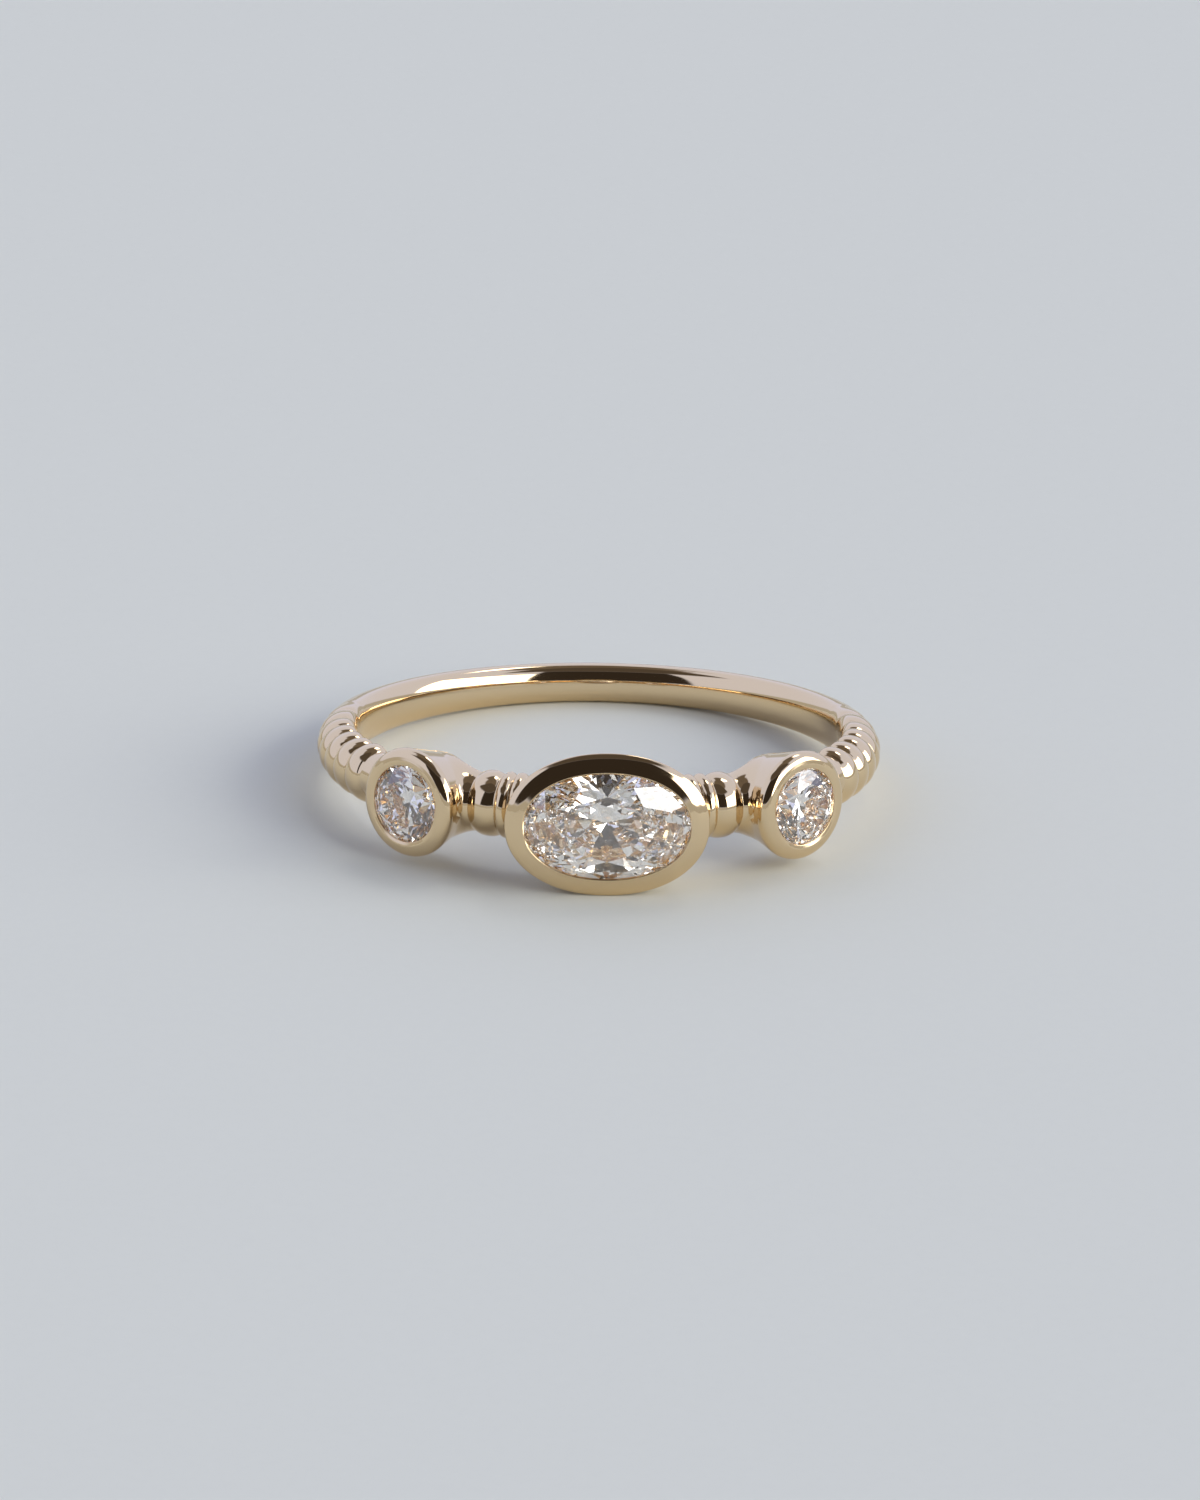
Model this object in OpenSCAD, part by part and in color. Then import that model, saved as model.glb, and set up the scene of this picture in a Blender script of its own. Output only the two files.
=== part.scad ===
// Three stone ring: a centre oval between two rounds, each in a full bezel, on a beaded and ribbed band.
// The ring lies on its side, as it rests by itself, with its head towards -Y and +Z up.
// The origin is the centre of the finger hole.

/* [Finger hole] */
// Diameter of the finger hole
finger_hole_d = 17; // [15:0.1:21]

/* [Band] */
// Width of the band along the finger, at the head
band_front_w = 2.34; // [1.8:0.02:2.6]
// Width of the band along the finger, at the back
band_back_w = 1.4; // [1.1:0.02:2]
// Thickness of the band at the head
band_front_t = 1.53; // [1.3:0.01:1.9]
// Thickness of the band at the back
band_back_t = 1.27; // [1:0.01:1.6]

/* [Beads between the bezels] */
// Clear run along the band from the oval bezel's rim to a round bezel's rim
bezel_run = 1.97; // [1.6:0.01:3]
// Run from a round bezel's rim to the first groove of the beads
collar_l = 0.14; // [0.1:0.01:0.5]
// Length of the large bead
large_bead_l = 0.98; // [0.6:0.01:1.2]
// Length of each small bead
small_bead_l = 0.48; // [0.3:0.01:0.7]
// Number of small beads on each side of the oval bezel
small_bead_count = 2; // [1:1:3]
// Depth of the grooves between the beads
bead_depth = 0.13; // [0.05:0.01:0.2]

/* [Shoulder ribs] */
// Run from a round bezel's rim to the first groove of the ribs
shoulder_run = 1.6; // [1.2:0.02:2.4]
// Number of ribs on each shoulder
rib_count = 7; // [4:1:9]
// Length of the first rib, beside the bezel
first_rib_l = 1.06; // [0.7:0.02:1.3]
// Length of the last rib
last_rib_l = 1.3; // [0.7:0.02:1.4]
// Depth of the first groove, which fades to nothing at the last
rib_depth = 0.2; // [0.04:0.01:0.22]

/* [Oval stone] */
// Length of the oval stone
oval_l = 6; // [5:0.1:6.5]
// Width of the oval stone
oval_w = 4; // [3.6:0.1:4.4]
// Height of the crown above the girdle
oval_crown_h = 0.56; // [0.4:0.01:0.7]
// Depth of the pavilion below the girdle
oval_pavilion_h = 1.68; // [1.4:0.01:1.8]
// Height of the girdle's middle above the finger hole's wall
oval_rise = 2.32; // [2.2:0.01:2.8]

/* [Round stones] */
// Diameter of each round stone
round_d = 3; // [2.6:0.05:3.3]
// Height of the crown above the girdle
round_crown_h = 0.46; // [0.3:0.01:0.6]
// Depth of the pavilion below the girdle
round_pavilion_h = 1.28; // [1:0.01:1.4]
// Height of the girdle's middle above the finger hole's wall
round_rise = 1.97; // [1.8:0.01:2.4]

/* [Cut of the stones] */
// Width of the table as a share of the stone's width
table_share = 0.57; // [0.5:0.01:0.65]
// Thickness of the girdle
girdle_t = 0.09; // [0.05:0.01:0.15]

/* [Bezels] */
// Width of the oval bezel's rim, from the lip's edge to the outside
oval_rim_w = 0.66; // [0.5:0.01:0.85]
// How far the oval rim's outer edge lies behind its lip
oval_rim_drop = 0.35; // [0.2:0.01:0.45]
// Width of a round bezel's rim, from the lip's edge to the outside
round_rim_w = 0.63; // [0.45:0.01:0.8]
// How far a round rim's outer edge lies behind its lip
round_rim_drop = 0.3; // [0.15:0.01:0.4]
// How far the lip covers the stone's edge
lip_cover = 0.17; // [0.1:0.01:0.2]
// Thickness of the lip at its edge
lip_t = 0.06; // [0.04:0.01:0.12]
// Angle at which the bezels' walls draw in behind the rim
wall_taper = 15; // [8:1:18]
// Width of the ledge that carries a stone below its girdle
ledge_w = 0.5; // [0.3:0.02:0.6]
// Width of the swelling of the band that carries a round bezel
flare_w = 2.8; // [2.6:0.05:3.2]
// Thickness of the band in the middle of that swelling
flare_t = 1.85; // [1.6:0.01:1.9]

/* [Fit] */
// Gap between a stone and the metal around it
stone_gap = 0.03; // [0.02:0.01:0.05]

/* [Hidden] */

// The finger hole and the places of the stones, as radii from its centre
hole_r = finger_hole_d / 2;
oval_girdle_r = hole_r + oval_rise;
round_girdle_r = hole_r + round_rise;

// The brilliant cut: main facets round the stone, how far the star facets reach from the table to the
// girdle, and how far the lower halves reach from the girdle to the culet
facet_count = 8;
star_reach = 0.5;
lower_half_reach = 0.77;
facet_turn = 360 / facet_count;
star_r = mix(table_share * cos(facet_turn / 2), 1, star_reach);
upper_half_slope = (1 - star_r * cos(facet_turn / 2)) / (1 - table_share) / (1 - star_r);

// The slope of the crown beside the girdle is that of its upper half facets, the steepest, along the width
oval_crown_slope = oval_crown_h / (oval_w / 2) * upper_half_slope;
round_crown_slope = round_crown_h / (round_d / 2) * upper_half_slope;

// Height of the lip's outer side above the middle of the girdle
oval_lip_h = girdle_t / 2 + stone_gap + lip_cover * oval_crown_slope + lip_t;
round_lip_h = girdle_t / 2 + stone_gap + lip_cover * round_crown_slope + lip_t;

// Rims: half length and half width at their outer edge, and the radius at which that edge lies
oval_rim_a = oval_l / 2 - lip_cover + oval_rim_w;
oval_rim_b = oval_w / 2 - lip_cover + oval_rim_w;
round_rim_a = round_d / 2 - lip_cover + round_rim_w;
oval_edge_r = oval_girdle_r + oval_lip_h - oval_rim_drop;
round_edge_r = round_girdle_r + round_lip_h - round_rim_drop;

// Angles round the finger, from the head. Runs along the band are measured on its outside.
run_r = hole_r + band_front_t;
function run_angle(run) = run / run_r * 180 / PI;
oval_half_angle = atan(oval_rim_a / oval_edge_r);
round_half_angle = atan(round_rim_a / round_edge_r);
side_angle = oval_half_angle + run_angle(bezel_run) + round_half_angle;
bead_start = side_angle - round_half_angle - run_angle(collar_l);
bead_ends = [
    for (i = [0 : small_bead_count])
        bead_start - run_angle(large_bead_l + i * small_bead_l)
];
rib_start = side_angle + round_half_angle + run_angle(shoulder_run);
rib_step = (first_rib_l - last_rib_l) / (rib_count - 1);
function rib_angle(i) = rib_start + run_angle(i * first_rib_l - rib_step * i * (i - 1) / 2);
rib_end = rib_angle(rib_count);

// Resting tilt: the lowest edge of the oval rim and the round back of the band touch one plane
back_centre_r = hole_r + band_back_t - band_back_w / 2;
rest_reach = oval_edge_r + back_centre_r;
rest_tilt = atan(oval_rim_b / rest_reach) - asin(band_back_w / 2 / norm([oval_rim_b, rest_reach]));

// How finely the band is drawn: steps along each of its stretches, and points round its section
bead_steps = 6;
rib_steps = 4;
flare_step = 2;
hidden_step = 4;
back_step = 8;
section_steps = 12;
ring_points = 48;
// How far the band is drawn inside the finger hole before the hole is cut
bore_overlap = 0.35;
// How far the section's round side stops short of the finger hole
side_land = 0.05;
// How far down its lower half the section's round side may reach, as a share of its radius
side_reach = 0.9;
// The roundness of a bead: 2 is a circle's arc, and more is flatter with a sharper groove
bead_power = 2.4;
// The fullness of the oval's outline: 2 is an ellipse
oval_power = 2.12;
// The rims' tops, from their outer edge to their lip: [share of the rim's width, share of its drop]
oval_rim_top = [[0, 1], [0.06, 0.72], [0.45, 0.3], [0.9, 0]];
round_rim_top = [[0, 1], [0.11, 0.42], [0.3, 0.13], [0.6, 0]];
// How far a cut runs past what it cuts
over = 1;
$fn = 96;

function ease(u) = u * u * (3 - 2 * u);
function mix(a, b, u) = a + (b - a) * u;
function away(angle) = (1 + cos(angle)) / 2;

// Share of the swelling at an angle: 1 at the round bezel's middle and 0 at the first grooves
function swelling(angle) =
    angle <= bead_start || angle >= rib_start ? 0
    : angle < side_angle ? ease((angle - bead_start) / (side_angle - bead_start))
    : ease((rib_start - angle) / (rib_start - side_angle));

// Drop of the surface below its crown, at a share u of a bead's length
function bead_drop(u, depth) = depth * pow(abs(2 * u - 1), bead_power);

// A station is [angle from the head, drop below the crown]
function bead_stations(from, to, depth) = [
    for (i = [1 : bead_steps])
        [mix(from, to, i / bead_steps), bead_drop(i / bead_steps, depth)]
];
function rib_fade(angle) = max(0, (rib_end - angle) / (rib_end - rib_start));
function rib_stations(i) = [
    for (k = [1 : rib_steps])
        let (angle = mix(rib_angle(i), rib_angle(i + 1), k / rib_steps))
            [angle, bead_drop(k / rib_steps, rib_depth * rib_fade(angle))]
];
last_bead_end = bead_ends[small_bead_count];
hidden_count = ceil(last_bead_end / hidden_step);
flare_count = ceil((rib_start - bead_start) / flare_step);
back_count = ceil((180 - rib_end) / back_step);
half_stations = [
    for (i = [0 : hidden_count]) [last_bead_end * i / hidden_count, bead_depth],
    for (i = [small_bead_count - 1 : -1 : 0]) each bead_stations(bead_ends[i + 1], bead_ends[i], bead_depth),
    each bead_stations(bead_ends[0], bead_start, bead_depth),
    for (i = [1 : flare_count])
        let (u = i / flare_count) [mix(bead_start, rib_start, u), mix(bead_depth, rib_depth, u)],
    for (i = [0 : rib_count - 1]) each rib_stations(i),
    for (i = [1 : back_count]) [mix(rib_end, 180, i / back_count), 0]
];
last = len(half_stations) - 1;
stations = [
    each half_stations,
    for (i = [last - 1 : -1 : 1]) [-half_stations[i][0], half_stations[i][1]]
];

// Half width and thickness of the band at a station
function half_width(s) =
    let (plain = mix(band_back_w, band_front_w, away(s[0])) / 2 - s[1])
        mix(plain, flare_w / 2, swelling(abs(s[0])));
function thickness(s) =
    let (plain = mix(band_back_t, band_front_t, away(s[0])) - s[1])
        mix(plain, flare_t, swelling(abs(s[0])));

// The band's section is a round wire that the finger hole cuts flat: points [radius, height]
function section(s) =
    let (w = half_width(s), centre = hole_r + thickness(s) - w)
    let (turn = 90 + asin(min(side_reach, max(-side_reach, (centre - hole_r - side_land) / w))))
        [
            [hole_r - bore_overlap, w * sin(turn)],
            for (i = [0 : section_steps])
                let (a = turn * (1 - 2 * i / section_steps)) [centre + w * cos(a), w * sin(a)],
            [hole_r - bore_overlap, -w * sin(turn)]
        ];

// Outline of the oval, fuller than an ellipse by oval_power
function outline_point(a, b, angle, power) =
    let (c = cos(angle), s = sin(angle))
        [a * sign(c) * pow(abs(c), 2 / power), b * sign(s) * pow(abs(s), 2 / power)];

// Solid through closed loops of points that all have the same count, in order
module loft(loops, closed) {
    n = len(loops);
    m = len(loops[0]);
    points = [for (loop = loops) each loop];
    bands = closed ? n : n - 1;
    sides = [
        for (i = [0 : bands - 1], j = [0 : m - 1])
            let (a = i * m, b = (i + 1) % n * m, k = (j + 1) % m)
                each [[a + j, b + j, b + k], [a + j, b + k, a + k]]
    ];
    caps = closed ? [] : [[for (j = [0 : m - 1]) j], [for (j = [m - 1 : -1 : 0]) (n - 1) * m + j]];
    polyhedron(points = points, faces = concat(sides, caps));
}

// Moves something that faces +Z to a place on the ring, where it faces away from the finger
module at_place(angle, radius) {
    rotate([0, 0, angle]) translate([0, -radius, 0]) rotate([90, 0, 0]) children();
}

module at_rest() {
    rotate([-rest_tilt, 0, 0]) children();
}

module band() {
    loft(
        [
            for (s = stations)
                [for (p = section(s)) [p[0] * sin(s[0]), -p[0] * cos(s[0]), p[1]]]
        ],
        true
    );
}

// Outside of a bezel as rows of [inset from the outer edge, height above the middle of the girdle]
function rim_rows(top, rim_w, rim_drop, lip_h, depth) = [
    [depth * tan(wall_taper), lip_h - rim_drop - depth],
    for (d = top) [d[0] * rim_w, lip_h - d[1] * rim_drop]
];

// Room for a stone as rows of [inset from the girdle, height above its middle]. It is open to the
// finger below, bears the stone below its girdle and ends in the bevel of the lip.
function seat_rows(crown_slope, pavilion_slope, lip_h, depth) = [
    [ledge_w, -depth],
    [ledge_w, -girdle_t / 2 - stone_gap - ledge_w * pavilion_slope],
    [-stone_gap, -girdle_t / 2 - stone_gap],
    [-stone_gap, girdle_t / 2 + stone_gap],
    [lip_cover, girdle_t / 2 + stone_gap + lip_cover * crown_slope],
    [lip_cover - lip_t / 2, lip_h],
    [lip_cover - lip_t / 2, lip_h + over]
];

module oval_loft(a, b, rows) {
    loft(
        [
            for (r = rows)
                [
                    for (i = [0 : ring_points - 1])
                        let (p = outline_point(a - r[0], b - r[0], 360 * i / ring_points, oval_power))
                            [p[0], p[1], r[1]]
                ]
        ],
        false
    );
}

module round_turned(r, rows) {
    rotate_extrude()
        polygon([
            [0, rows[0][1]],
            for (row = rows) [r - row[0], row[1]],
            [0, rows[len(rows) - 1][1]]
        ]);
}

// Bezel walls run down into the finger hole, which then cuts them to length
oval_depth = oval_edge_r - sqrt(pow(hole_r, 2) - pow(oval_rim_a, 2)) + bore_overlap;
round_depth = round_edge_r - sqrt(pow(hole_r, 2) - pow(round_rim_a, 2)) + bore_overlap;

module oval_bezel() {
    at_place(0, oval_girdle_r)
        oval_loft(
            oval_rim_a,
            oval_rim_b,
            rim_rows(oval_rim_top, oval_rim_w, oval_rim_drop, oval_lip_h, oval_depth)
        );
}

module round_bezel(angle) {
    at_place(angle, round_girdle_r)
        round_turned(
            round_rim_a,
            rim_rows(round_rim_top, round_rim_w, round_rim_drop, round_lip_h, round_depth)
        );
}

module oval_seat() {
    at_place(0, oval_girdle_r)
        oval_loft(
            oval_l / 2,
            oval_w / 2,
            seat_rows(oval_crown_slope, oval_pavilion_h / (oval_w / 2), oval_lip_h, oval_depth)
        );
}

module round_seat(angle) {
    at_place(angle, round_girdle_r)
        round_turned(
            round_d / 2,
            seat_rows(round_crown_slope, round_pavilion_h / (round_d / 2), round_lip_h, round_depth)
        );
}

module finger_hole() {
    cylinder(r = hole_r, h = 2 * (oval_rim_b + flare_w), center = true);
}

// Brilliant cut: table, stars, kites, upper halves, girdle, lower halves, mains and culet.
// It is worked out on a circle of radius 1 and stretched to the stone's length and width.
main_r = 1 - lower_half_reach;

function ring_of(count, turn, radius, height) = [
    for (i = [0 : count - 1])
        let (a = turn + 360 * i / count) [radius * cos(a), radius * sin(a), height]
];

module brilliant(length, width, crown_h, pavilion_h) {
    n = facet_count;
    star_h = crown_h * (1 - star_r * cos(facet_turn / 2)) / (1 - table_share);
    main_h = pavilion_h * (1 - main_r * cos(facet_turn / 2));
    points = concat(
        ring_of(n, 0, table_share, girdle_t / 2 + crown_h),
        ring_of(n, facet_turn / 2, star_r, girdle_t / 2 + star_h),
        ring_of(2 * n, 0, 1, girdle_t / 2),
        ring_of(2 * n, 0, 1, -girdle_t / 2),
        ring_of(n, facet_turn / 2, main_r, -girdle_t / 2 - main_h),
        [[0, 0, -girdle_t / 2 - pavilion_h]]
    );
    table = 0;
    star = n;
    top = 2 * n;
    bottom = 4 * n;
    main = 6 * n;
    culet = 7 * n;
    faces = [
        [for (i = [n - 1 : -1 : 0]) table + i],
        for (i = [0 : n - 1])
            let (next = (i + 1) % n, before = (i + n - 1) % n)
            let (g = 2 * i, h = 2 * i + 1, g2 = 2 * next)
                each [
                    [table + i, table + next, star + i],
                    [table + i, star + i, top + g],
                    [table + i, top + g, star + before],
                    [star + i, top + h, top + g],
                    [star + i, top + g2, top + h],
                    [main + i, bottom + g, bottom + h],
                    [main + i, bottom + h, bottom + g2],
                    [culet, bottom + g, main + i],
                    [culet, main + before, bottom + g]
                ],
        for (i = [0 : 2 * n - 1])
            let (j = (i + 1) % (2 * n))
                each [[top + i, top + j, bottom + j], [top + i, bottom + j, bottom + i]]
    ];
    polyhedron(points = [for (p = points) [p[0] * length / 2, p[1] * width / 2, p[2]]], faces = faces);
}

module round_stone(angle) {
    color("white") at_rest() at_place(angle, round_girdle_r)
        brilliant(round_d, round_d, round_crown_h, round_pavilion_h);
}

module gold_mount() {
    color("tan") at_rest() difference() {
        union() {
            band();
            oval_bezel();
            round_bezel(-side_angle);
            round_bezel(side_angle);
        }
        finger_hole();
        oval_seat();
        round_seat(-side_angle);
        round_seat(side_angle);
    }
}

module oval_stone() {
    color("white") at_rest() at_place(0, oval_girdle_r)
        brilliant(oval_l, oval_w, oval_crown_h, oval_pavilion_h);
}

module left_round_stone() {
    round_stone(-side_angle);
}

module right_round_stone() {
    round_stone(side_angle);
}

gold_mount();
oval_stone();
left_round_stone();
right_round_stone();
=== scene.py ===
# %% [markdown]
# # A three stone ring
# The ring is cast in yellow gold: a half-round band, three cups called bezels that hold the stones by a
# lip pressed over their edge, round beads between the cups, and shallow ribs on the shoulders that fade
# into a plain back. Casting and soldering make all of the metal one piece, so this lesson makes it as one
# closed mesh too. The three stones are separate, and their facets come with the frame.

from math import asin, atan, cos, degrees, hypot, pi, radians, sin, tan

import bpy
import numpy as np
from mathutils import Matrix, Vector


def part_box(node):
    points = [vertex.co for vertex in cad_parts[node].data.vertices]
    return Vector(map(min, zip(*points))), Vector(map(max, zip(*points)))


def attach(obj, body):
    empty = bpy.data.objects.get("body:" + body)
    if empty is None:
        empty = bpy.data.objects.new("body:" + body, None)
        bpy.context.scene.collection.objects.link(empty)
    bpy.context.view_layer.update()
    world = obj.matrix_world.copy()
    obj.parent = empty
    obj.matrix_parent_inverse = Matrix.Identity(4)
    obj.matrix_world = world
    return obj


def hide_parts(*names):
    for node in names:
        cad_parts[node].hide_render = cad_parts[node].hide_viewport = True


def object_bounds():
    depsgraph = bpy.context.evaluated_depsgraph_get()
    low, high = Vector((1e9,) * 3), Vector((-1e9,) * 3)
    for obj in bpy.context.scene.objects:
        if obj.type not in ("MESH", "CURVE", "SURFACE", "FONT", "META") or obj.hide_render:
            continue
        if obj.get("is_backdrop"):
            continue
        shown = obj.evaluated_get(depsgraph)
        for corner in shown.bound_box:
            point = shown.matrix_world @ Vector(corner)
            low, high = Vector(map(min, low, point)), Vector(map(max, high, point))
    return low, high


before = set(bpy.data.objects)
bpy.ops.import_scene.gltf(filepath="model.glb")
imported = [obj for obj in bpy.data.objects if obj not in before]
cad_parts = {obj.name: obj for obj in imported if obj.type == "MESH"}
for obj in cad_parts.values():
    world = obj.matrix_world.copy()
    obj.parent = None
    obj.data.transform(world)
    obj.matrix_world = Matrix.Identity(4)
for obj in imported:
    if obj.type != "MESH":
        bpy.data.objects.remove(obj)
cad_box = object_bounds()
print("nodes:", sorted(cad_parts))

# %% [markdown]
# ## The ring's sizes
# A jeweller works in millimetres, so every size here is in millimetres and is turned to Blender's metres
# once, when a mesh is made. The sizes are those of the cast ring: the finger hole, the band's width and
# thickness at the head and at the back, the stones, and the rims around them.

# %% Sizes of the ring, in millimetres
MM = 0.001
hole_r = 17 / 2
band_front_w, band_back_w = 2.34, 1.4
band_front_t, band_back_t = 1.53, 1.27
front_edge_round, back_edge_round = 0.3, 0.42

bezel_run, collar_l = 1.97, 0.14
large_bead_l, small_bead_l, small_bead_count, bead_depth = 0.98, 0.48, 2, 0.13
shoulder_run, rib_count, first_rib_l, last_rib_l, rib_depth = 1.6, 7, 1.06, 1.3, 0.2

oval_l, oval_w, oval_crown_h, oval_pavilion_h, oval_rise = 6, 4, 0.56, 1.68, 2.32
round_d, round_crown_h, round_pavilion_h, round_rise = 3, 0.46, 1.28, 1.97
table_share, girdle_t, stone_gap = 0.57, 0.09, 0.03

oval_rim_w, oval_rim_drop, round_rim_w, round_rim_drop = 0.66, 0.35, 0.63, 0.3
lip_cover, lip_t, wall_taper, ledge_w = 0.17, 0.06, radians(15), 0.5
fillet_outside, fillet_inside = 0.35, 0.85
oval_power = 2.12

# %% Places that follow from the sizes
oval_girdle_r = hole_r + oval_rise
round_girdle_r = hole_r + round_rise
star_r = (table_share * cos(pi / 8) + 1) / 2
upper_half_slope = (1 - star_r * cos(pi / 8)) / (1 - table_share) / (1 - star_r)
oval_crown_slope = upper_half_slope * oval_crown_h / (oval_w / 2)
round_crown_slope = upper_half_slope * round_crown_h / (round_d / 2)
oval_lip_h = girdle_t / 2 + stone_gap + lip_cover * oval_crown_slope + lip_t
round_lip_h = girdle_t / 2 + stone_gap + lip_cover * round_crown_slope + lip_t
oval_rim_a = oval_l / 2 - lip_cover + oval_rim_w
oval_rim_b = oval_w / 2 - lip_cover + oval_rim_w
round_rim_a = round_d / 2 - lip_cover + round_rim_w
oval_edge_r = oval_girdle_r + oval_lip_h - oval_rim_drop
round_edge_r = round_girdle_r + round_lip_h - round_rim_drop


def run_angle(run):
    """The angle round the finger, in degrees, that a run along the outside of the band spans."""
    return np.degrees(run / (hole_r + band_front_t))


oval_half_angle = degrees(atan(oval_rim_a / oval_edge_r))
round_half_angle = degrees(atan(round_rim_a / round_edge_r))
side_angle = oval_half_angle + run_angle(bezel_run) + round_half_angle
bead_start = side_angle - round_half_angle - run_angle(collar_l)
bead_lengths = large_bead_l + small_bead_l * np.arange(small_bead_count + 1)
bead_grooves = np.sort(np.append(bead_start - run_angle(bead_lengths), bead_start))
rib_start = side_angle + round_half_angle + run_angle(shoulder_run)
rib_lengths = np.linspace(first_rib_l, last_rib_l, rib_count)
rib_grooves = rib_start + run_angle(np.append(0, np.cumsum(rib_lengths)))
print("side stones at", round(side_angle, 2), "degrees, ribs end at", round(float(rib_grooves[-1]), 1))

# %% [markdown]
# ## How the ring lies
# A ring with a raised head doesn't lie flat. It leans on the lower edge of the oval's rim and on the round
# back of the band, so its own axis is tipped from the vertical by a few degrees. Everything below is first
# worked out around the finger's axis, and then tipped by that angle.

# %% The resting tilt
rest_reach = oval_edge_r + hole_r + band_back_t - band_back_w / 2
rest_tilt = atan(oval_rim_b / rest_reach) - asin(band_back_w / 2 / hypot(oval_rim_b, rest_reach))
tip = np.array(Matrix.Rotation(-rest_tilt, 3, "X"))
print("resting tilt", round(degrees(rest_tilt), 2), "degrees")

# %% [markdown]
# ## Surfaces from arrays
# A polished surface shows every flaw in its reflections, so two things matter more than the number of
# faces: corners are small true arcs, and each point carries the exact direction that the surface faces
# there. Both come from formulas. A surface is a grid of points: one direction runs round the band or
# round the stone, and the other runs along a profile.

# %% A profile with rounded corners
def rounded_profile(corners, arc_steps):
    """A closed outline in a plane, given as rows of [x, y, rounding radius].

    At each corner an arc touches both sides. Its centre lies on the corner's bisector, and its points are
    centre + radius * (cosine, sine) of an angle that turns evenly from one side's normal to the other's.
    Returns the points and, for each, the unit vector along the outline."""
    corners = np.array(corners, float)
    at, radius = corners[:, :2], corners[:, 2]
    along = np.roll(at, -1, 0) - at
    along /= np.linalg.norm(along, axis=1, keepdims=True)
    before = np.roll(along, 1, 0)
    start = np.arctan2(before[:, 1], before[:, 0])
    turn = (np.arctan2(along[:, 1], along[:, 0]) - start + pi) % (2 * pi) - pi
    share = np.linspace(0, 1, arc_steps + 1)
    heading = start[:, None] + turn[:, None] * share
    side = np.sign(turn)[:, None]
    reach = (radius * np.tan(np.abs(turn) / 2))[:, None]
    inward = np.stack([-before[:, 1], before[:, 0]], 1) * side
    centre = at - before * reach + inward * radius[:, None]
    spoke = np.stack([np.sin(heading), -np.cos(heading)], 2) * side[..., None]
    points = centre[:, None] + spoke * radius[:, None, None]
    tangents = np.stack([np.cos(heading), np.sin(heading)], 2)
    return points.reshape(-1, 2), tangents.reshape(-1, 2)


# %% Turning a grid into a mesh
def slope_along(points):
    """How fast each point of a grid moves from row to row, for rows that close into a ring.

    It is the central difference: the next row minus the row before."""
    return np.roll(points, -1, 0) - np.roll(points, 1, 0)


def grid_faces(rows, columns):
    """Corner numbers of the quads of a grid that closes in both directions."""
    i, j = np.meshgrid(np.arange(rows), np.arange(columns), indexing="ij")
    i_next, j_next = (i + 1) % rows, (j + 1) % columns
    corners = [i * columns + j, i_next * columns + j, i_next * columns + j_next, i * columns + j_next]
    return np.stack(corners, -1).reshape(-1, 4)


def new_piece(name, mesh, normals):
    """A piece from a mesh and its points' normals.

    They are stored on the face corners, so that they survive when solids are joined and cut."""
    corner = np.zeros(len(mesh.loops), int)
    mesh.loops.foreach_get("vertex_index", corner)
    skin = mesh.attributes.new("skin", "FLOAT_VECTOR", "CORNER")
    skin.data.foreach_set("vector", (normals.reshape(-1, 3) @ tip.T)[corner].astype(np.float32).ravel())
    piece = bpy.data.objects.new(name, mesh)
    bpy.context.scene.collection.objects.link(piece)
    return piece


def ring_mesh(name, points, normals):
    """A closed ring-shaped piece from a grid of points in millimetres, with its faces turned outwards."""
    rows, columns = points.shape[:2]
    faces = grid_faces(rows, columns)
    flat_points, flat_normals = points.reshape(-1, 3), normals.reshape(-1, 3)
    across = np.cross(flat_points[faces[:, 2]] - flat_points[faces[:, 0]],
                      flat_points[faces[:, 3]] - flat_points[faces[:, 1]])
    if np.sum(across * flat_normals[faces[:, 0]]) < 0:
        faces = faces[:, ::-1]
    mesh = bpy.data.meshes.new(name)
    mesh.from_pydata(flat_points @ tip.T * MM, [], faces)
    print(name, "has", len(faces), "quads")
    return new_piece(name, mesh, normals)


# %% [markdown]
# ## The band
# Along the band, the half width and the thickness are each one formula of the angle from the head. They
# blend evenly from the head to the back and dip at each groove between beads and ribs. Across the band, the
# section is a circle of the half width with its top at the band's outside. The round bezels grow out of it
# like the bell of a trumpet, with a hollow fillet all round, and the finger's side is cut off with a soft
# edge. One function gives the distance to that whole surface, and the band's grid is found on it by rays.

# %% Width and thickness along the band
bead_power, rib_power, rib_fade_power = 2.4, 2.4, 2.5


def groove_drop(angle, grooves, depth, power):
    """Depth of a row of beads below its crown: depth times |2u - 1| to a power, for a share u of a bead."""
    bead = np.clip(np.searchsorted(grooves, angle, "right") - 1, 0, len(grooves) - 2)
    share = (angle - grooves[bead]) / (grooves[bead + 1] - grooves[bead])
    return depth * np.abs(2 * np.clip(share, 0, 1) - 1) ** power


def band_drop(angle):
    """How far the band's surface lies below its crown: beads, a plain stretch, then ribs that fade out."""
    plain_share = (angle - bead_start) / (rib_start - bead_start)
    fade = 1 - np.clip((angle - rib_start) / (rib_grooves[-1] - rib_start), 0, 1) ** rib_fade_power
    return np.select(
        [angle < bead_start, angle < rib_start, angle < rib_grooves[-1]],
        [groove_drop(angle, bead_grooves, bead_depth, bead_power),
         bead_depth + (rib_depth - bead_depth) * plain_share,
         groove_drop(angle, rib_grooves, rib_depth, rib_power) * fade],
        0.0,
    )


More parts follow.
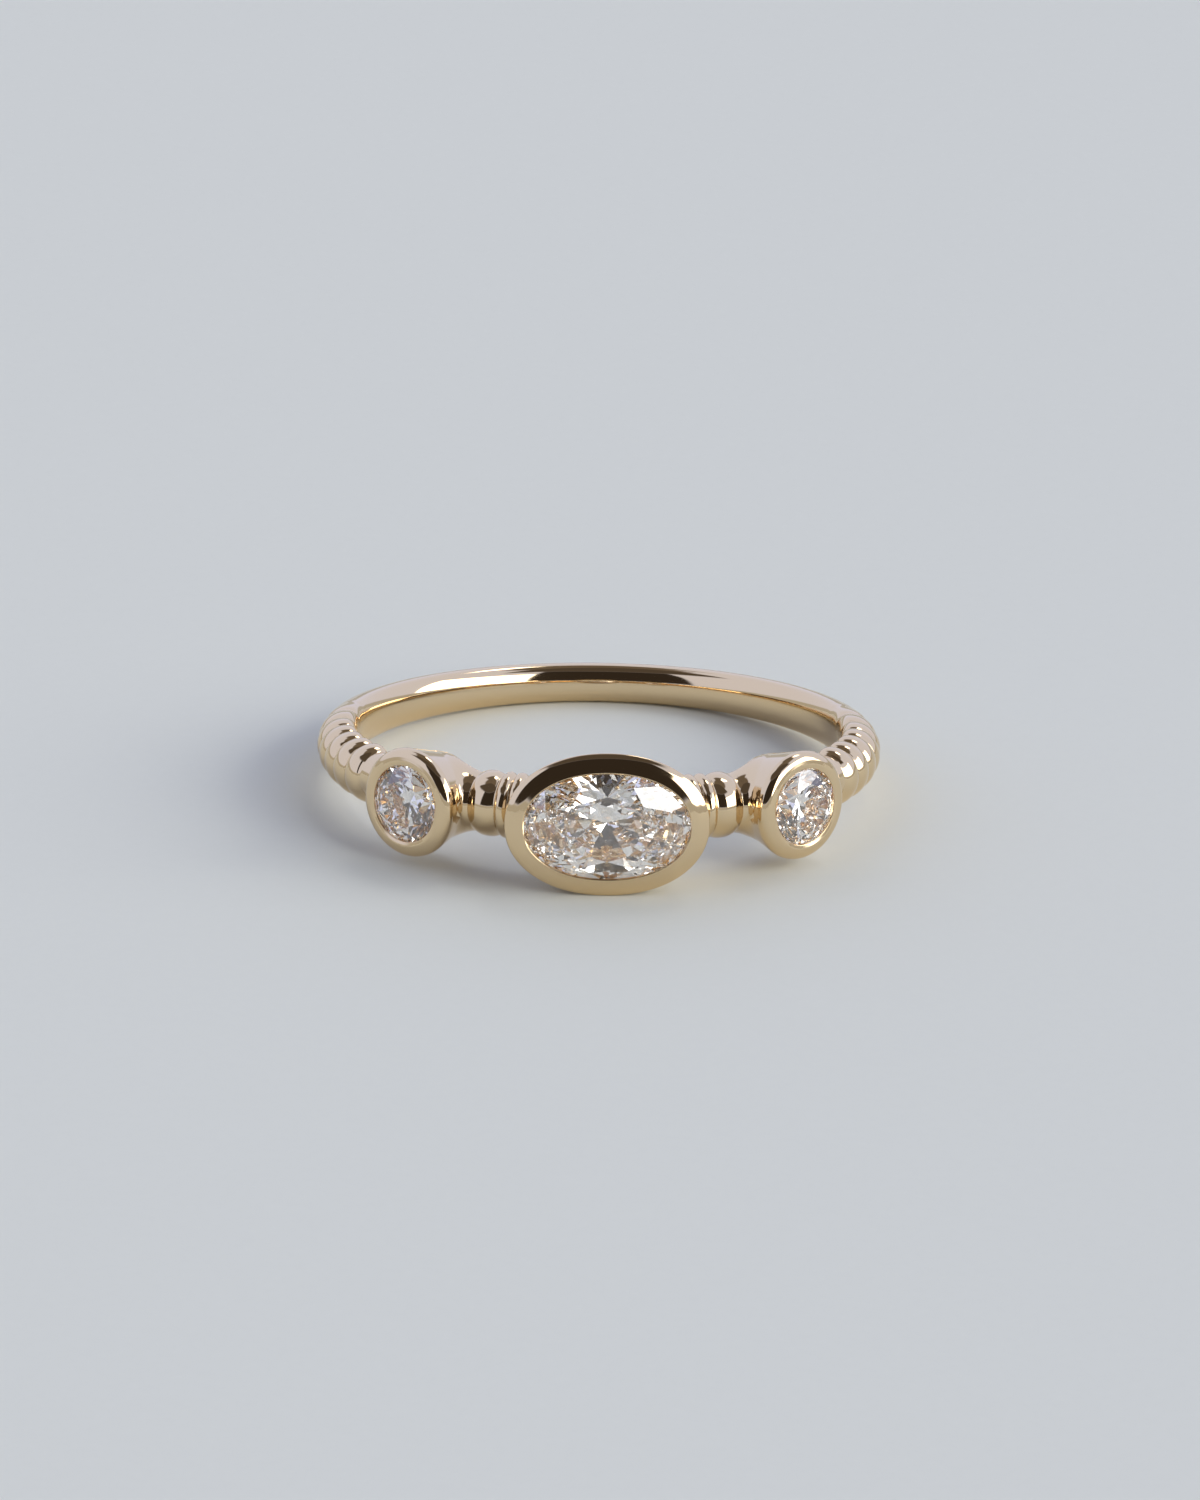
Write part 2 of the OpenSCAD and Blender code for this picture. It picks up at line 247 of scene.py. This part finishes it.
def band_size(angle):
    """Half width, distance of the wire's middle from the finger's axis, and edge rounding, at angles in
    degrees from the head, 0 to 180."""
    front = (1 + np.cos(np.radians(angle))) / 2
    drop = band_drop(angle)
    half_w = (band_back_w + (band_front_w - band_back_w) * front) / 2 - drop
    thick = band_back_t + (band_front_t - band_back_t) * front - drop
    return half_w, hole_r + thick - half_w, back_edge_round + (front_edge_round - back_edge_round) * front


# %% The distance to the band's surface
bore_allowance, cup_inset, cup_top, round_corner_drop = 0.004, 0.0008, -0.22, 0.175
round_corner_h = round_lip_h - round_corner_drop


def smooth_union(a, b, reach):
    """The nearer of two distances with a fillet: where they differ by less than reach, it is lowered by
    reach / 4 times the square of (1 - difference / reach)."""
    blend = np.maximum(1 - np.abs(a - b) / reach, 0)
    return np.minimum(a, b) - blend ** 2 * reach / 4


def rounded_cut(a, b, rounding):
    """The farther of two distances with its edge rounded off: the length of (a + r, b + r) less r."""
    a, b = a + rounding, b + rounding
    return np.hypot(np.maximum(a, 0), np.maximum(b, 0)) + np.minimum(np.maximum(a, b), 0) - rounding


def metal_distance(radius, height, angle):
    """Distance to the band's surface in millimetres, negative inside the metal.

    The wire's is hypot(radius - middle, height) - half_w. The cup's is that to a cone round the stone's
    axis, which ends below the rim. A fillet joins the two, wider with the depth below the band's outside,
    and the finger's side cuts both."""
    half_w, middle, edge = band_size(np.abs(angle))
    wire = np.hypot(radius - middle, height) - half_w
    lean = np.radians(np.abs(angle) - side_angle)
    up = radius * np.cos(lean) - round_girdle_r
    out = np.hypot(radius * np.sin(lean), height)
    cone = (out - round_rim_a + (round_corner_h - up) * tan(wall_taper)) * cos(wall_taper)
    cup = np.maximum(cone + cup_inset, up - cup_top)
    depth = np.clip((hole_r + band_front_t - radius) / band_front_t, 0, 1)
    fillet = fillet_outside + (fillet_inside - fillet_outside) * depth
    return rounded_cut(smooth_union(wire, cup, fillet), hole_r - bore_allowance - radius, edge)


# %% The angles at which the band is drawn
cup_reach, joint_reach = 9, 12


def stretch(ends, samples):
    """Angles between neighbouring ends, evenly spread, with the last end left to the next stretch."""
    return np.concatenate([np.linspace(a, b, samples, endpoint=False) for a, b in zip(ends[:-1], ends[1:])])


stretches = [
    # ends in degrees from the head, and the angles from each end to the next
    ([0, bead_grooves[0]], 10),
    (bead_grooves, 20),
    ([bead_start, side_angle - cup_reach, side_angle + cup_reach, side_angle + joint_reach], 36),
    ([side_angle + joint_reach, rib_start], 16),
    (rib_grooves, 16),
    ([rib_grooves[-1], 180], 60),
]
half_band = np.concatenate([stretch(*row) for row in stretches] + [[180]])
band_angles = np.concatenate([half_band, -half_band[-2:0:-1]])
print("the band is drawn at", len(band_angles), "angles")

# %% The band's surface
section_rays, fan_rays, farthest = 34, 361, 2.6
fan_halvings, surface_halvings, slope_step = 16, 30, 0.0001


def find_surface(angle, ray, halvings):
    """Where rays from the wire's middle leave the metal, as [radius, height], by halving a span.

    A ray of 0 points away from the finger, and one of pi points to it."""
    middle = band_size(np.abs(angle))[1]
    near, far = np.zeros(np.broadcast(angle, ray).shape), farthest
    for _ in range(halvings):
        reach = (near + far) / 2
        inside = metal_distance(middle + reach * np.cos(ray), reach * np.sin(ray), angle) < 0
        near, far = np.where(inside, reach, near), np.where(inside, far, reach)
    return middle + near * np.cos(ray), near * np.sin(ray)


def spread_rays(angle):
    """Rays from 0 to pi at each angle of the band, closer where the section is longer or turns more.

    They share out evenly the run along the section plus its turn, each as a share of its whole."""
    fan = np.linspace(0, pi, fan_rays)[None]
    radius, height = find_surface(angle, fan, fan_halvings)
    step_r, step_h = np.diff(radius), np.diff(height)
    run = np.hypot(step_r, step_h)
    turn = np.abs(np.diff(np.unwrap(np.arctan2(step_h, step_r)), prepend=0))
    turn[:, 0] = 0
    share = np.cumsum(run / run.sum(1, keepdims=True) + turn / turn.sum(1, keepdims=True), 1) / 2
    share = np.concatenate([0 * angle, share[:, :-1], 0 * angle + 1], 1)
    row = 2.0 * np.arange(len(angle))[:, None]
    wanted = np.linspace(0, 1, section_rays)[None] + row
    rays = np.interp(wanted.ravel(), (share + row).ravel(), (fan + 0 * share).ravel())
    return rays.reshape(wanted.shape)


def band_surface():
    """Points (radius sin, -radius cos, height) of the angle from the head. The normal is the way in which
    the distance grows fastest, from central differences along x, y and z."""
    angle = band_angles[:, None]
    radius, height = find_surface(angle, spread_rays(angle), surface_halvings)
    radius = np.concatenate([radius, radius[:, -2:0:-1]], 1)
    height = np.concatenate([height, -height[:, -2:0:-1]], 1)
    turn = np.radians(angle)
    points = np.stack([radius * np.sin(turn), -radius * np.cos(turn), height], -1)
    slopes = []
    for move in np.eye(3) * slope_step:
        x, y, z = np.moveaxis(np.stack([points - move, points + move]), -1, 0)
        distance = metal_distance(np.hypot(x, y), z, np.degrees(np.arctan2(x, -y)))
        slopes.append(distance[1] - distance[0])
    normals = np.stack(slopes, -1)
    return points, normals / np.linalg.norm(normals, axis=-1, keepdims=True)


band = ring_mesh("band", *band_surface())

# %% [markdown]
# ## The bezels
# A bezel is a cup of sheet metal: a wall that draws in towards the finger, a rim with a sloping top, and
# a lip that is pressed over the stone's edge. Inside, a seat with a ledge carries the stone below its
# girdle, and the cup is open underneath to let light in. One closed profile holds all of it, carried round
# the stone's outline. The oval's rim slopes outward in a gentle curve, and the round ones are domed.

# %% Profiles of the bezels
ring_samples, arc_steps = 192, 6
edge_roll, lip_roll, hidden_roll = 0.1, 0.03, 0.01
cup_depth_spare = 0.5


def cup_depth(edge_r, half_length):
    """Depth of a cup below its rim's edge, past the finger hole's wall at the cup's ends."""
    return edge_r - (hole_r ** 2 - half_length ** 2) ** 0.5 + cup_depth_spare


def bezel_profile(rim_w, rim_corners, lip_h, edge_r, half_length, pavilion_slope):
    """A bezel's closed profile as rows of [inset from the outer edge, height above the girdle, rounding].

    rim_corners are the rim's own rows, from its outer edge to its lip."""
    depth = cup_depth(edge_r, half_length)
    base_h = rim_corners[0][1] - depth
    stone = rim_w - lip_cover
    under = girdle_t / 2 + stone_gap
    return rounded_profile(
        [[depth * tan(wall_taper), base_h, hidden_roll]]
        + rim_corners
        + [
            [rim_w, lip_h - lip_t, lip_roll / 3],
            [stone - stone_gap, under, hidden_roll],
            [stone - stone_gap, -under, hidden_roll],
            [stone + ledge_w, -under - ledge_w * pavilion_slope, hidden_roll * 3],
            [stone + ledge_w, base_h, hidden_roll],
        ],
        arc_steps,
    )


# %% Points and normals of a bezel
def stone_outline(half_l, half_w, power, turn):
    """Points (half_l * cos, half_w * sin) of a turn, fuller than an ellipse where power is over 2.

    The cosine and sine are raised to 2 / power, and keep their signs."""
    c, s = np.cos(turn), np.sin(turn)
    full = 2 / power
    return np.stack([half_l * np.sign(c) * np.abs(c) ** full, half_w * np.sign(s) * np.abs(s) ** full], -1)


def at_place(vectors, angle):
    """Vectors that face +Z, turned to face away from the finger at an angle from the head."""
    x, y, z = np.moveaxis(vectors, -1, 0)
    turn = radians(angle)
    return np.stack([x * cos(turn) + z * sin(turn), x * sin(turn) - z * cos(turn), y], -1)


def bezel_surface(profile, half_l, half_w, power, angle, girdle_r):
    """The profile carried round the stone's outline, drawn in by each row's inset.

    The normal is the cross product of the way round, a central difference, and the way along the profile."""
    points_2d, tangents = profile
    turn = np.linspace(0, 2 * pi, ring_samples, endpoint=False) + pi / ring_samples
    inset, height = points_2d.T[:, None]
    outline = stone_outline(half_l - inset, half_w - inset, power, turn[:, None])
    one = np.ones_like(outline[..., :1])
    points = np.concatenate([outline, height[..., None] * one], -1)
    inward = -stone_outline(1, 1, power, turn)[:, None]
    along = np.concatenate([inward * tangents[:, :1], tangents[:, 1:] * one], -1)
    normals = np.cross(slope_along(points), along)
    normals /= np.linalg.norm(normals, axis=-1, keepdims=True)
    placed = at_place(points + [0, 0, girdle_r], angle)
    return placed, at_place(normals, angle)


# %% Making the three bezels
oval_rim = [
    # inset from the outer edge, height above the girdle, rounding radius
    [-0.02, oval_lip_h - 0.3, edge_roll],
    [0.13, oval_lip_h - 0.185, 0.55],
    [0.36, oval_lip_h - 0.072, 0.9],
    [oval_rim_w - 0.05, oval_lip_h, lip_roll],
]
round_rim = [
    [0, round_corner_h, 0.34],
    [0.3, round_lip_h - 0.03, 0.25],
    [0.47, round_lip_h + 0.01, 0.2],
    [round_rim_w - 0.02, round_lip_h - 0.025, lip_roll],
]
oval_profile = bezel_profile(oval_rim_w, oval_rim, oval_lip_h, oval_edge_r, oval_rim_a,
                             oval_pavilion_h / (oval_w / 2))
round_profile = bezel_profile(round_rim_w, round_rim, round_lip_h, round_edge_r, round_rim_a,
                              round_pavilion_h / (round_d / 2))
# half length and half width of the rim, its outline's power, its angle from the head, its girdle's radius
oval_cup = oval_rim_a, oval_rim_b, oval_power, 0, oval_girdle_r
left_cup = round_rim_a, round_rim_a, 2, -side_angle, round_girdle_r
right_cup = round_rim_a, round_rim_a, 2, side_angle, round_girdle_r
oval_bezel = ring_mesh("oval_bezel", *bezel_surface(oval_profile, *oval_cup))
left_bezel = ring_mesh("left_bezel", *bezel_surface(round_profile, *left_cup))
right_bezel = ring_mesh("right_bezel", *bezel_surface(round_profile, *right_cup))

# %% [markdown]
# ## Soldering it together
# In the workshop the cups are soldered into notches in the band, and the finger hole is then reamed
# through everything. The same steps work here: three plugs cut the notches, the cups are joined on, and a
# cylinder cuts the finger hole. Blender's Boolean modifier keeps the stored normals, also on the faces
# that it cuts, so the polish survives.

# %% Cutting tools
bore_sides, plug_wall = 720, 0.2


def capped_mesh(name, loops, normals):
    """A closed solid from loops of points in millimetres, with a flat face at each end."""
    rows, columns = loops.shape[:2]
    sides = grid_faces(rows, columns)[:(rows - 1) * columns]
    mesh = bpy.data.meshes.new(name)
    ends = [list(range(columns)), list(range(rows * columns - 1, (rows - 1) * columns - 1, -1))]
    mesh.from_pydata(loops.reshape(-1, 3) @ tip.T * MM, [], sides.tolist() + ends)
    mesh.validate()
    if mesh_volume(mesh) < 0:
        mesh.flip_normals()
    return new_piece(name, mesh, normals)


def mesh_volume(mesh):
    """Volume of a closed mesh: a sixth of the sum of first corner dot (second cross third) of triangles."""
    mesh.calc_loop_triangles()
    corners = np.zeros(len(mesh.loop_triangles) * 3, int)
    mesh.loop_triangles.foreach_get("vertices", corners)
    places = np.zeros(len(mesh.vertices) * 3)
    mesh.vertices.foreach_get("co", places)
    a, b, c = places.reshape(-1, 3)[corners].reshape(-1, 3, 3).transpose(1, 0, 2)
    return float(np.sum(a * np.cross(b, c)) / 6)


def notch_plug(name, half_l, half_w, power, angle, girdle_r, edge_h, depth):
    """A tapered plug that lies inside a cup's wall, from the girdle to below the finger hole."""
    turn = np.linspace(0, 2 * pi, ring_samples // 2, endpoint=False)
    heights = np.array([0, edge_h - depth])
    insets = plug_wall + (edge_h - heights) * tan(wall_taper)
    loops = np.stack([np.column_stack([stone_outline(half_l - i, half_w - i, power, turn), h + 0 * turn])
                      for i, h in zip(insets, heights)])
    return capped_mesh(name, at_place(loops + [0, 0, girdle_r], angle), at_place(loops, angle))


def finger_reamer():
    """The cylinder of the finger hole. Its skin faces the axis, as the wall that it leaves does."""
    turn = np.linspace(0, 2 * pi, bore_sides, endpoint=False)
    spoke = np.stack([np.cos(turn), np.sin(turn), 0 * turn], -1)
    reach = 2 * oval_rim_b
    loops = np.stack([spoke * hole_r + [0, 0, h] for h in (-reach, reach)])
    return capped_mesh("reamer", loops, np.stack([-spoke, -spoke]))


# %% Cutting and joining
def carve(work, tool, operation):
    """Joins a solid to the work, or cuts it away, and removes it."""
    step = work.modifiers.new(operation, "BOOLEAN")
    step.operation, step.solver, step.object = operation, "MANIFOLD", tool
    shaped = bpy.data.meshes.new_from_object(work.evaluated_get(bpy.context.evaluated_depsgraph_get()))
    work.modifiers.clear()
    work.data = shaped
    bpy.data.objects.remove(tool)


oval_edge_h, round_edge_h = oval_rim[0][1], round_rim[0][1]
oval_depth = cup_depth(oval_edge_r, oval_rim_a)
round_depth = cup_depth(round_edge_r, round_rim_a)
for plug in (
    notch_plug("oval_plug", *oval_cup, oval_edge_h, oval_depth),
    notch_plug("left_plug", *left_cup, round_edge_h, round_depth),
    notch_plug("right_plug", *right_cup, round_edge_h, round_depth),
):
    carve(band, plug, "DIFFERENCE")
for bezel in (oval_bezel, left_bezel, right_bezel):
    carve(band, bezel, "UNION")
carve(band, finger_reamer(), "DIFFERENCE")
mount = band
mount.name = mount.data.name = "polished_mount"
volume = mesh_volume(mount.data) / MM ** 3
print("the mount has", len(mount.data.polygons), "faces and", round(volume, 1), "mm3")


# %% Giving each corner its polished direction
def polish(piece):
    """Shades a piece by the normals stored on its corners, and deletes the store."""
    mesh = piece.data
    stored = mesh.attributes["skin"]
    skin = np.zeros(len(mesh.loops) * 3, np.float32)
    stored.data.foreach_get("vector", skin)
    skin = skin.reshape(-1, 3)
    skin /= np.maximum(np.linalg.norm(skin, axis=1, keepdims=True), 1e-9)
    mesh.attributes.remove(stored)
    mesh.polygons.foreach_set("use_smooth", np.ones(len(mesh.polygons), bool))
    mesh.normals_split_custom_set(skin.tolist())


polish(mount)
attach(mount, "root")
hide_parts("gold_mount")
low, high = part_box("gold_mount")
corners = np.array(mount.bound_box)
print("solid", [round(v / MM, 2) for v in (*low, *high)])
print("piece", [round(float(v) / MM, 2) for v in (*corners.min(0), *corners.max(0))])

# %% [markdown]
# ## Materials
# Colours are written as the sRGB hex values that a paint program shows. Blender's shaders work with
# linear light, so one function turns them. Another small function adds a shader node with its settings and
# links, which keeps each material short enough to read.

# %% Colour and node helpers
def linear(hex_colour, strength=1.0):
    """An sRGB hex value as linear light times a strength: c / 12.92 near black, else ((c + 0.055) / 1.055)
    to the power of 2.4."""
    srgb = np.array([int(hex_colour[i:i + 2], 16) for i in (1, 3, 5)]) / 255
    light = np.where(srgb < 0.04045, srgb / 12.92, ((srgb + 0.055) / 1.055) ** 2.4)
    return (*(light * strength).tolist(), 1.0)


def add(tree, kind, settings=None, **inputs):
    """Adds a node. settings are its properties. Each input is a value, another node's output, or a node,
    which stands for its first output.

    An input is named by its label with _ for a space, or i0, i1 and so on by its number."""
    node = tree.nodes.new(kind)
    for key, value in (settings or {}).items():
        setattr(node, key, value)
    for name, value in inputs.items():
        key = int(name[1:]) if name[1:].isdigit() else name.replace("_", " ")
        source = value.outputs[0] if isinstance(value, bpy.types.Node) else value
        if isinstance(source, bpy.types.NodeSocket):
            tree.links.new(source, node.inputs[key])
        else:
            node.inputs[key].default_value = source
    return node


def new_material(name, make_surface):
    """A material whose surface is what make_surface adds to its node tree."""
    material = bpy.data.materials.new(name)
    material.use_nodes = True
    tree = material.node_tree
    tree.nodes.clear()
    add(tree, "ShaderNodeOutputMaterial", Surface=make_surface(tree))
    print(name, "has", len(tree.nodes), "nodes")
    return material


# %% [markdown]
# ## Polished gold
# The ring is of fourteen carat yellow gold, cast, filed and buffed on a wheel. Buffing leaves a mirror with
# a faint waviness under a millimetre long and hairlines along the wheel's way. The waviness bends the edges
# of each reflection, and that tells the eye that the metal was worked by hand. Real hairlines are a few
# thousandths of a millimetre wide. They are drawn at a twentieth of a millimetre, which is as coarse as it
# takes to show from the camera, and they change only how sharp a reflection is.

# %% Gold material
gold_hex, gold_roughness, roughness_span = "#E8CFA7", 0.065, 0.05
wave_mm, wave_depth_mm, hairline_mm, hairline_stretch = 0.9, 0.004, 0.05, 6.0
noise_low, noise_high = 0.3, 0.7


def buffed_gold(tree):
    """A metal whose roughness follows stretched noise, and whose normal follows soft waves."""
    place = add(tree, "ShaderNodeTexCoord").outputs["Object"]
    waves = add(tree, "ShaderNodeTexNoise", Vector=place, Scale=1 / (wave_mm * MM), Detail=1.0, Roughness=0.4)
    stretched = add(tree, "ShaderNodeMapping", Vector=place, Scale=(1.0, 1.0, hairline_stretch))
    hairlines = add(tree, "ShaderNodeTexNoise", Vector=stretched, Scale=1 / (hairline_mm * MM))
    roughness = add(tree, "ShaderNodeMapRange", Value=hairlines.outputs["Fac"],
                    From_Min=noise_low, From_Max=noise_high,
                    To_Min=gold_roughness - roughness_span / 2, To_Max=gold_roughness + roughness_span / 2)
    wavy = add(tree, "ShaderNodeBump", Height=waves.outputs["Fac"], Distance=wave_depth_mm * MM)
    return add(tree, "ShaderNodeBsdfPrincipled", Base_Color=linear(gold_hex), Metallic=1.0,
               Roughness=roughness, Normal=wavy)


mount.data.materials.clear()
mount.data.materials.append(new_material("buffed_yellow_gold", buffed_gold))

# %% [markdown]
# ## The stones
# The stones are brilliant-cut diamonds. Each facet is a flat, smooth plane, and nearly all of a diamond's
# look is light that enters at the top, turns back inside and leaves at the top again. So the material is
# clear, and its refractive index does the work. A slight warmth is usual in stones of this size, and it
# comes in soft clouds, because a crystal grows unevenly. They keep the facets from looking like cut glass,
# all of one tone. The light turns many times inside, so the renderer is allowed more bounces than usual:
# with too few, the light that is cut short leaves the facets grey.

# %% Diamond material
diamond_ior, warm_diamond_hex, white_diamond_hex, cloud_mm = 2.417, "#FFF9EF", "#FFFFFD", 1.2
light_bounces = 64


def clear_diamond(tree):
    """A smooth, clear body with the refractive index of diamond, tinted between two tones by soft noise."""
    place = add(tree, "ShaderNodeTexCoord").outputs["Object"]
    clouds = add(tree, "ShaderNodeTexNoise", Vector=place, Scale=1 / (cloud_mm * MM), Detail=1.0)
    tint = add(tree, "ShaderNodeMix", {"data_type": "RGBA"}, i0=clouds.outputs["Fac"],
               i6=linear(warm_diamond_hex), i7=linear(white_diamond_hex))
    return add(tree, "ShaderNodeBsdfPrincipled", Base_Color=tint.outputs[2], Roughness=0.0,
               IOR=diamond_ior, Transmission_Weight=1.0)


diamond = new_material("brilliant_cut_diamond", clear_diamond)
for name in ("oval_stone", "left_round_stone", "right_round_stone"):
    stone_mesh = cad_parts[name].data
    stone_mesh.materials.clear()
    stone_mesh.materials.append(diamond)

cycles = bpy.context.scene.cycles
cycles.max_bounces = cycles.glossy_bounces = cycles.transmission_bounces = light_bounces

# %% [markdown]
# ## Floor
# The ring lies on a plain pale card, wide enough to fill the picture and every reflection. Card is pressed
# from fibres, so its tone is very slightly cloudy, which keeps a large pale area from looking like a screen.

# %% Floor
floor_half, card_roughness, card_shine = 1.5, 0.9, 0.2
card_hex, fibre_hex, fibre_mm = "#E1E2D6", "#DFE0D4", 0.4


def pale_card(tree):
    """A matt, nearly white surface with little shine, whose tone follows fine noise."""
    place = add(tree, "ShaderNodeTexCoord").outputs["Object"]
    fibres = add(tree, "ShaderNodeTexNoise", Vector=place, Scale=1 / (fibre_mm * MM))
    tone = add(tree, "ShaderNodeMix", {"data_type": "RGBA"}, i0=fibres.outputs["Fac"],
               i6=linear(card_hex), i7=linear(fibre_hex))
    return add(tree, "ShaderNodeBsdfPrincipled", Base_Color=tone.outputs[2], Roughness=card_roughness,
               Specular_IOR_Level=card_shine)


floor_mesh = bpy.data.meshes.new("floor")
floor_z = min(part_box(name)[0].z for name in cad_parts)
square = [(x * floor_half, y * floor_half, floor_z) for x, y in ((-1, -1), (1, -1), (1, 1), (-1, 1))]
floor_mesh.from_pydata(square, [], [(0, 1, 2, 3)])
floor_mesh.materials.append(new_material("pale_card", pale_card))
floor = bpy.data.objects.new("floor", floor_mesh)
bpy.context.scene.collection.objects.link(floor)
floor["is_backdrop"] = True

# %% [markdown]
# ## Studio light
# Polished metal and cut stones show the room around them, so the light is a room: pale bluish walls, a dim
# ceiling that reaches lower in front and straight behind, one large softbox on the right, a small one high
# up behind the ring, the dark of the camera's side, and grey where the floor goes on. It is worked out from
# the direction alone, as a few soft-edged patches. Azimuth 0 is towards the front of the ring, and it grows
# to the right.

# %% Patches of the room
wall_light = ("#D2DAFC", 1.15)
room_patches = [
    # name, middle azimuth, half width, elevation from, to, edge softness, all in degrees, colour, strength
    ("ceiling", 0.0, 200, 66, 100, 3, "#FFEEE4", 0.16),
    ("front ceiling", -17.0, 82, 52, 100, 3, "#FFEEE4", 0.09),
    ("gap behind", 181.0, 28, 55, 100, 3, "#FFEEE4", 0.15),
    ("high softbox", 148.0, 12, 54, 64, 2, "#FFFFFF", 5.0),
    ("softbox", 66.0, 32, 7, 38, 1.5, "#FFFFFF", 5.0),
    ("camera side", -7.0, 41, 8, 53, 1.5, "#FFE9DC", 0.035),
    ("far end of the floor", 0.0, 200, -90, 7, 1, "#C6C8CA", 0.85),
]

# %% The direction of the light as azimuth and elevation
world = bpy.data.worlds.new("room")
bpy.context.scene.world = world
world.use_nodes = True
tree = world.node_tree
tree.nodes.clear()

direction = add(tree, "ShaderNodeSeparateXYZ", Vector=add(tree, "ShaderNodeTexCoord").outputs["Generated"])
front = add(tree, "ShaderNodeMath", {"operation": "MULTIPLY"}, i0=direction.outputs[1], i1=-1.0)
turn = add(tree, "ShaderNodeMath", {"operation": "ARCTAN2"}, i0=direction.outputs[0], i1=front)
azimuth = add(tree, "ShaderNodeMath", {"operation": "DEGREES"}, i0=turn)
rise = add(tree, "ShaderNodeMath", {"operation": "ARCSINE"}, i0=direction.outputs[2])
elevation = add(tree, "ShaderNodeMath", {"operation": "DEGREES"}, i0=rise)


# %% The room as a world
def patch_mask(middle, half_width, low, high, softness):
    """1 inside a patch of the room and 0 outside: the product of a smooth step across and two in elevation.

    The azimuth is taken from the patch's middle and wrapped to -180 to 180, so that a patch may lie behind
    the ring."""
    offset = add(tree, "ShaderNodeMath", {"operation": "SUBTRACT"}, i0=azimuth, i1=middle)
    wrapped = add(tree, "ShaderNodeMath", {"operation": "WRAP"}, i0=offset, i1=180.0, i2=-180.0)
    away = add(tree, "ShaderNodeMath", {"operation": "ABSOLUTE"}, i0=wrapped)
    mask = 1.0
    for value, outside, inside in (
        (away, half_width + softness, half_width - softness),
        (elevation, low - softness, low + softness),
        (elevation, high + softness, high - softness),
    ):
        step = add(tree, "ShaderNodeMapRange", {"interpolation_type": "SMOOTHSTEP"}, Value=value,
                   From_Min=outside, From_Max=inside)
        mask = add(tree, "ShaderNodeMath", {"operation": "MULTIPLY"}, i0=mask, i1=step)
    return mask


light = linear(*wall_light)
for name, middle, half_width, low, high, softness, tint, strength in room_patches:
    mask = patch_mask(middle, half_width, low, high, softness)
    light = add(tree, "ShaderNodeMix", {"data_type": "RGBA", "label": name},
                i0=mask, i6=light, i7=linear(tint, strength)).outputs[2]
background = add(tree, "ShaderNodeBackground", Color=light)
add(tree, "ShaderNodeOutputWorld", Surface=background)
bpy.context.scene.view_settings.view_transform = "Standard"
print("room with", len(room_patches), "patches and", len(tree.nodes), "nodes")

# %% [markdown]
# ## Camera
# So small a thing is photographed from some 30 centimetres with a long lens. The camera's angles, its focal
# length in picture points and the ring's place in the picture come from a fit to the ring's outlines. The
# angles are measured from the finger's axis, so the ring's tilt is added to them.

# %% Camera
camera_distance, focal_px, sensor_mm, nearest_m, farthest_m = 300, 8527.9, 36, 0.001, 10
picture_w, picture_h, ring_px, ring_py = 1200, 1500, 598.77, 744.93
camera_elevation, camera_azimuth, camera_roll = radians(14.58), radians(-1.71), radians(-0.85)


def camera_axes():
    """The camera's right, up and back directions as the columns of a matrix."""
    level = cos(camera_elevation)
    back = np.array([sin(camera_azimuth) * level, -cos(camera_azimuth) * level, sin(camera_elevation)])
    right = np.cross([0, 0, 1], back)
    right /= np.linalg.norm(right)
    rolled = np.column_stack([right, np.cross(back, right), back]) @ Matrix.Rotation(-camera_roll, 3, "Z")
    return tip @ rolled


axes = camera_axes()
mm_per_px = camera_distance / focal_px
across, upward = (ring_px - picture_w / 2) * mm_per_px, (picture_h / 2 - ring_py) * mm_per_px
ring_seen = np.array([across, upward, -camera_distance])
lens = bpy.data.cameras.new("camera")
lens.sensor_width = sensor_mm
lens.lens = focal_px * sensor_mm / picture_h
lens.clip_start, lens.clip_end = nearest_m, farthest_m
camera = bpy.data.objects.new("camera", lens)
camera.matrix_world = Matrix.Translation(-axes @ ring_seen * MM) @ Matrix(axes.tolist()).to_4x4()
bpy.context.scene.collection.objects.link(camera)
bpy.context.scene.camera = camera
print("camera looks down by", round(degrees(asin(axes[2, 2])), 2), "degrees, lens", round(lens.lens), "mm")

# %% [markdown]
# ## Sizes before and after
# The box round the frame's solids and the box round the finished ring are written down together.

for title, box in (("solids", cad_box), ("scene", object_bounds())):
    print(title, [round(v / MM, 2) for corner in box for v in corner], "mm")
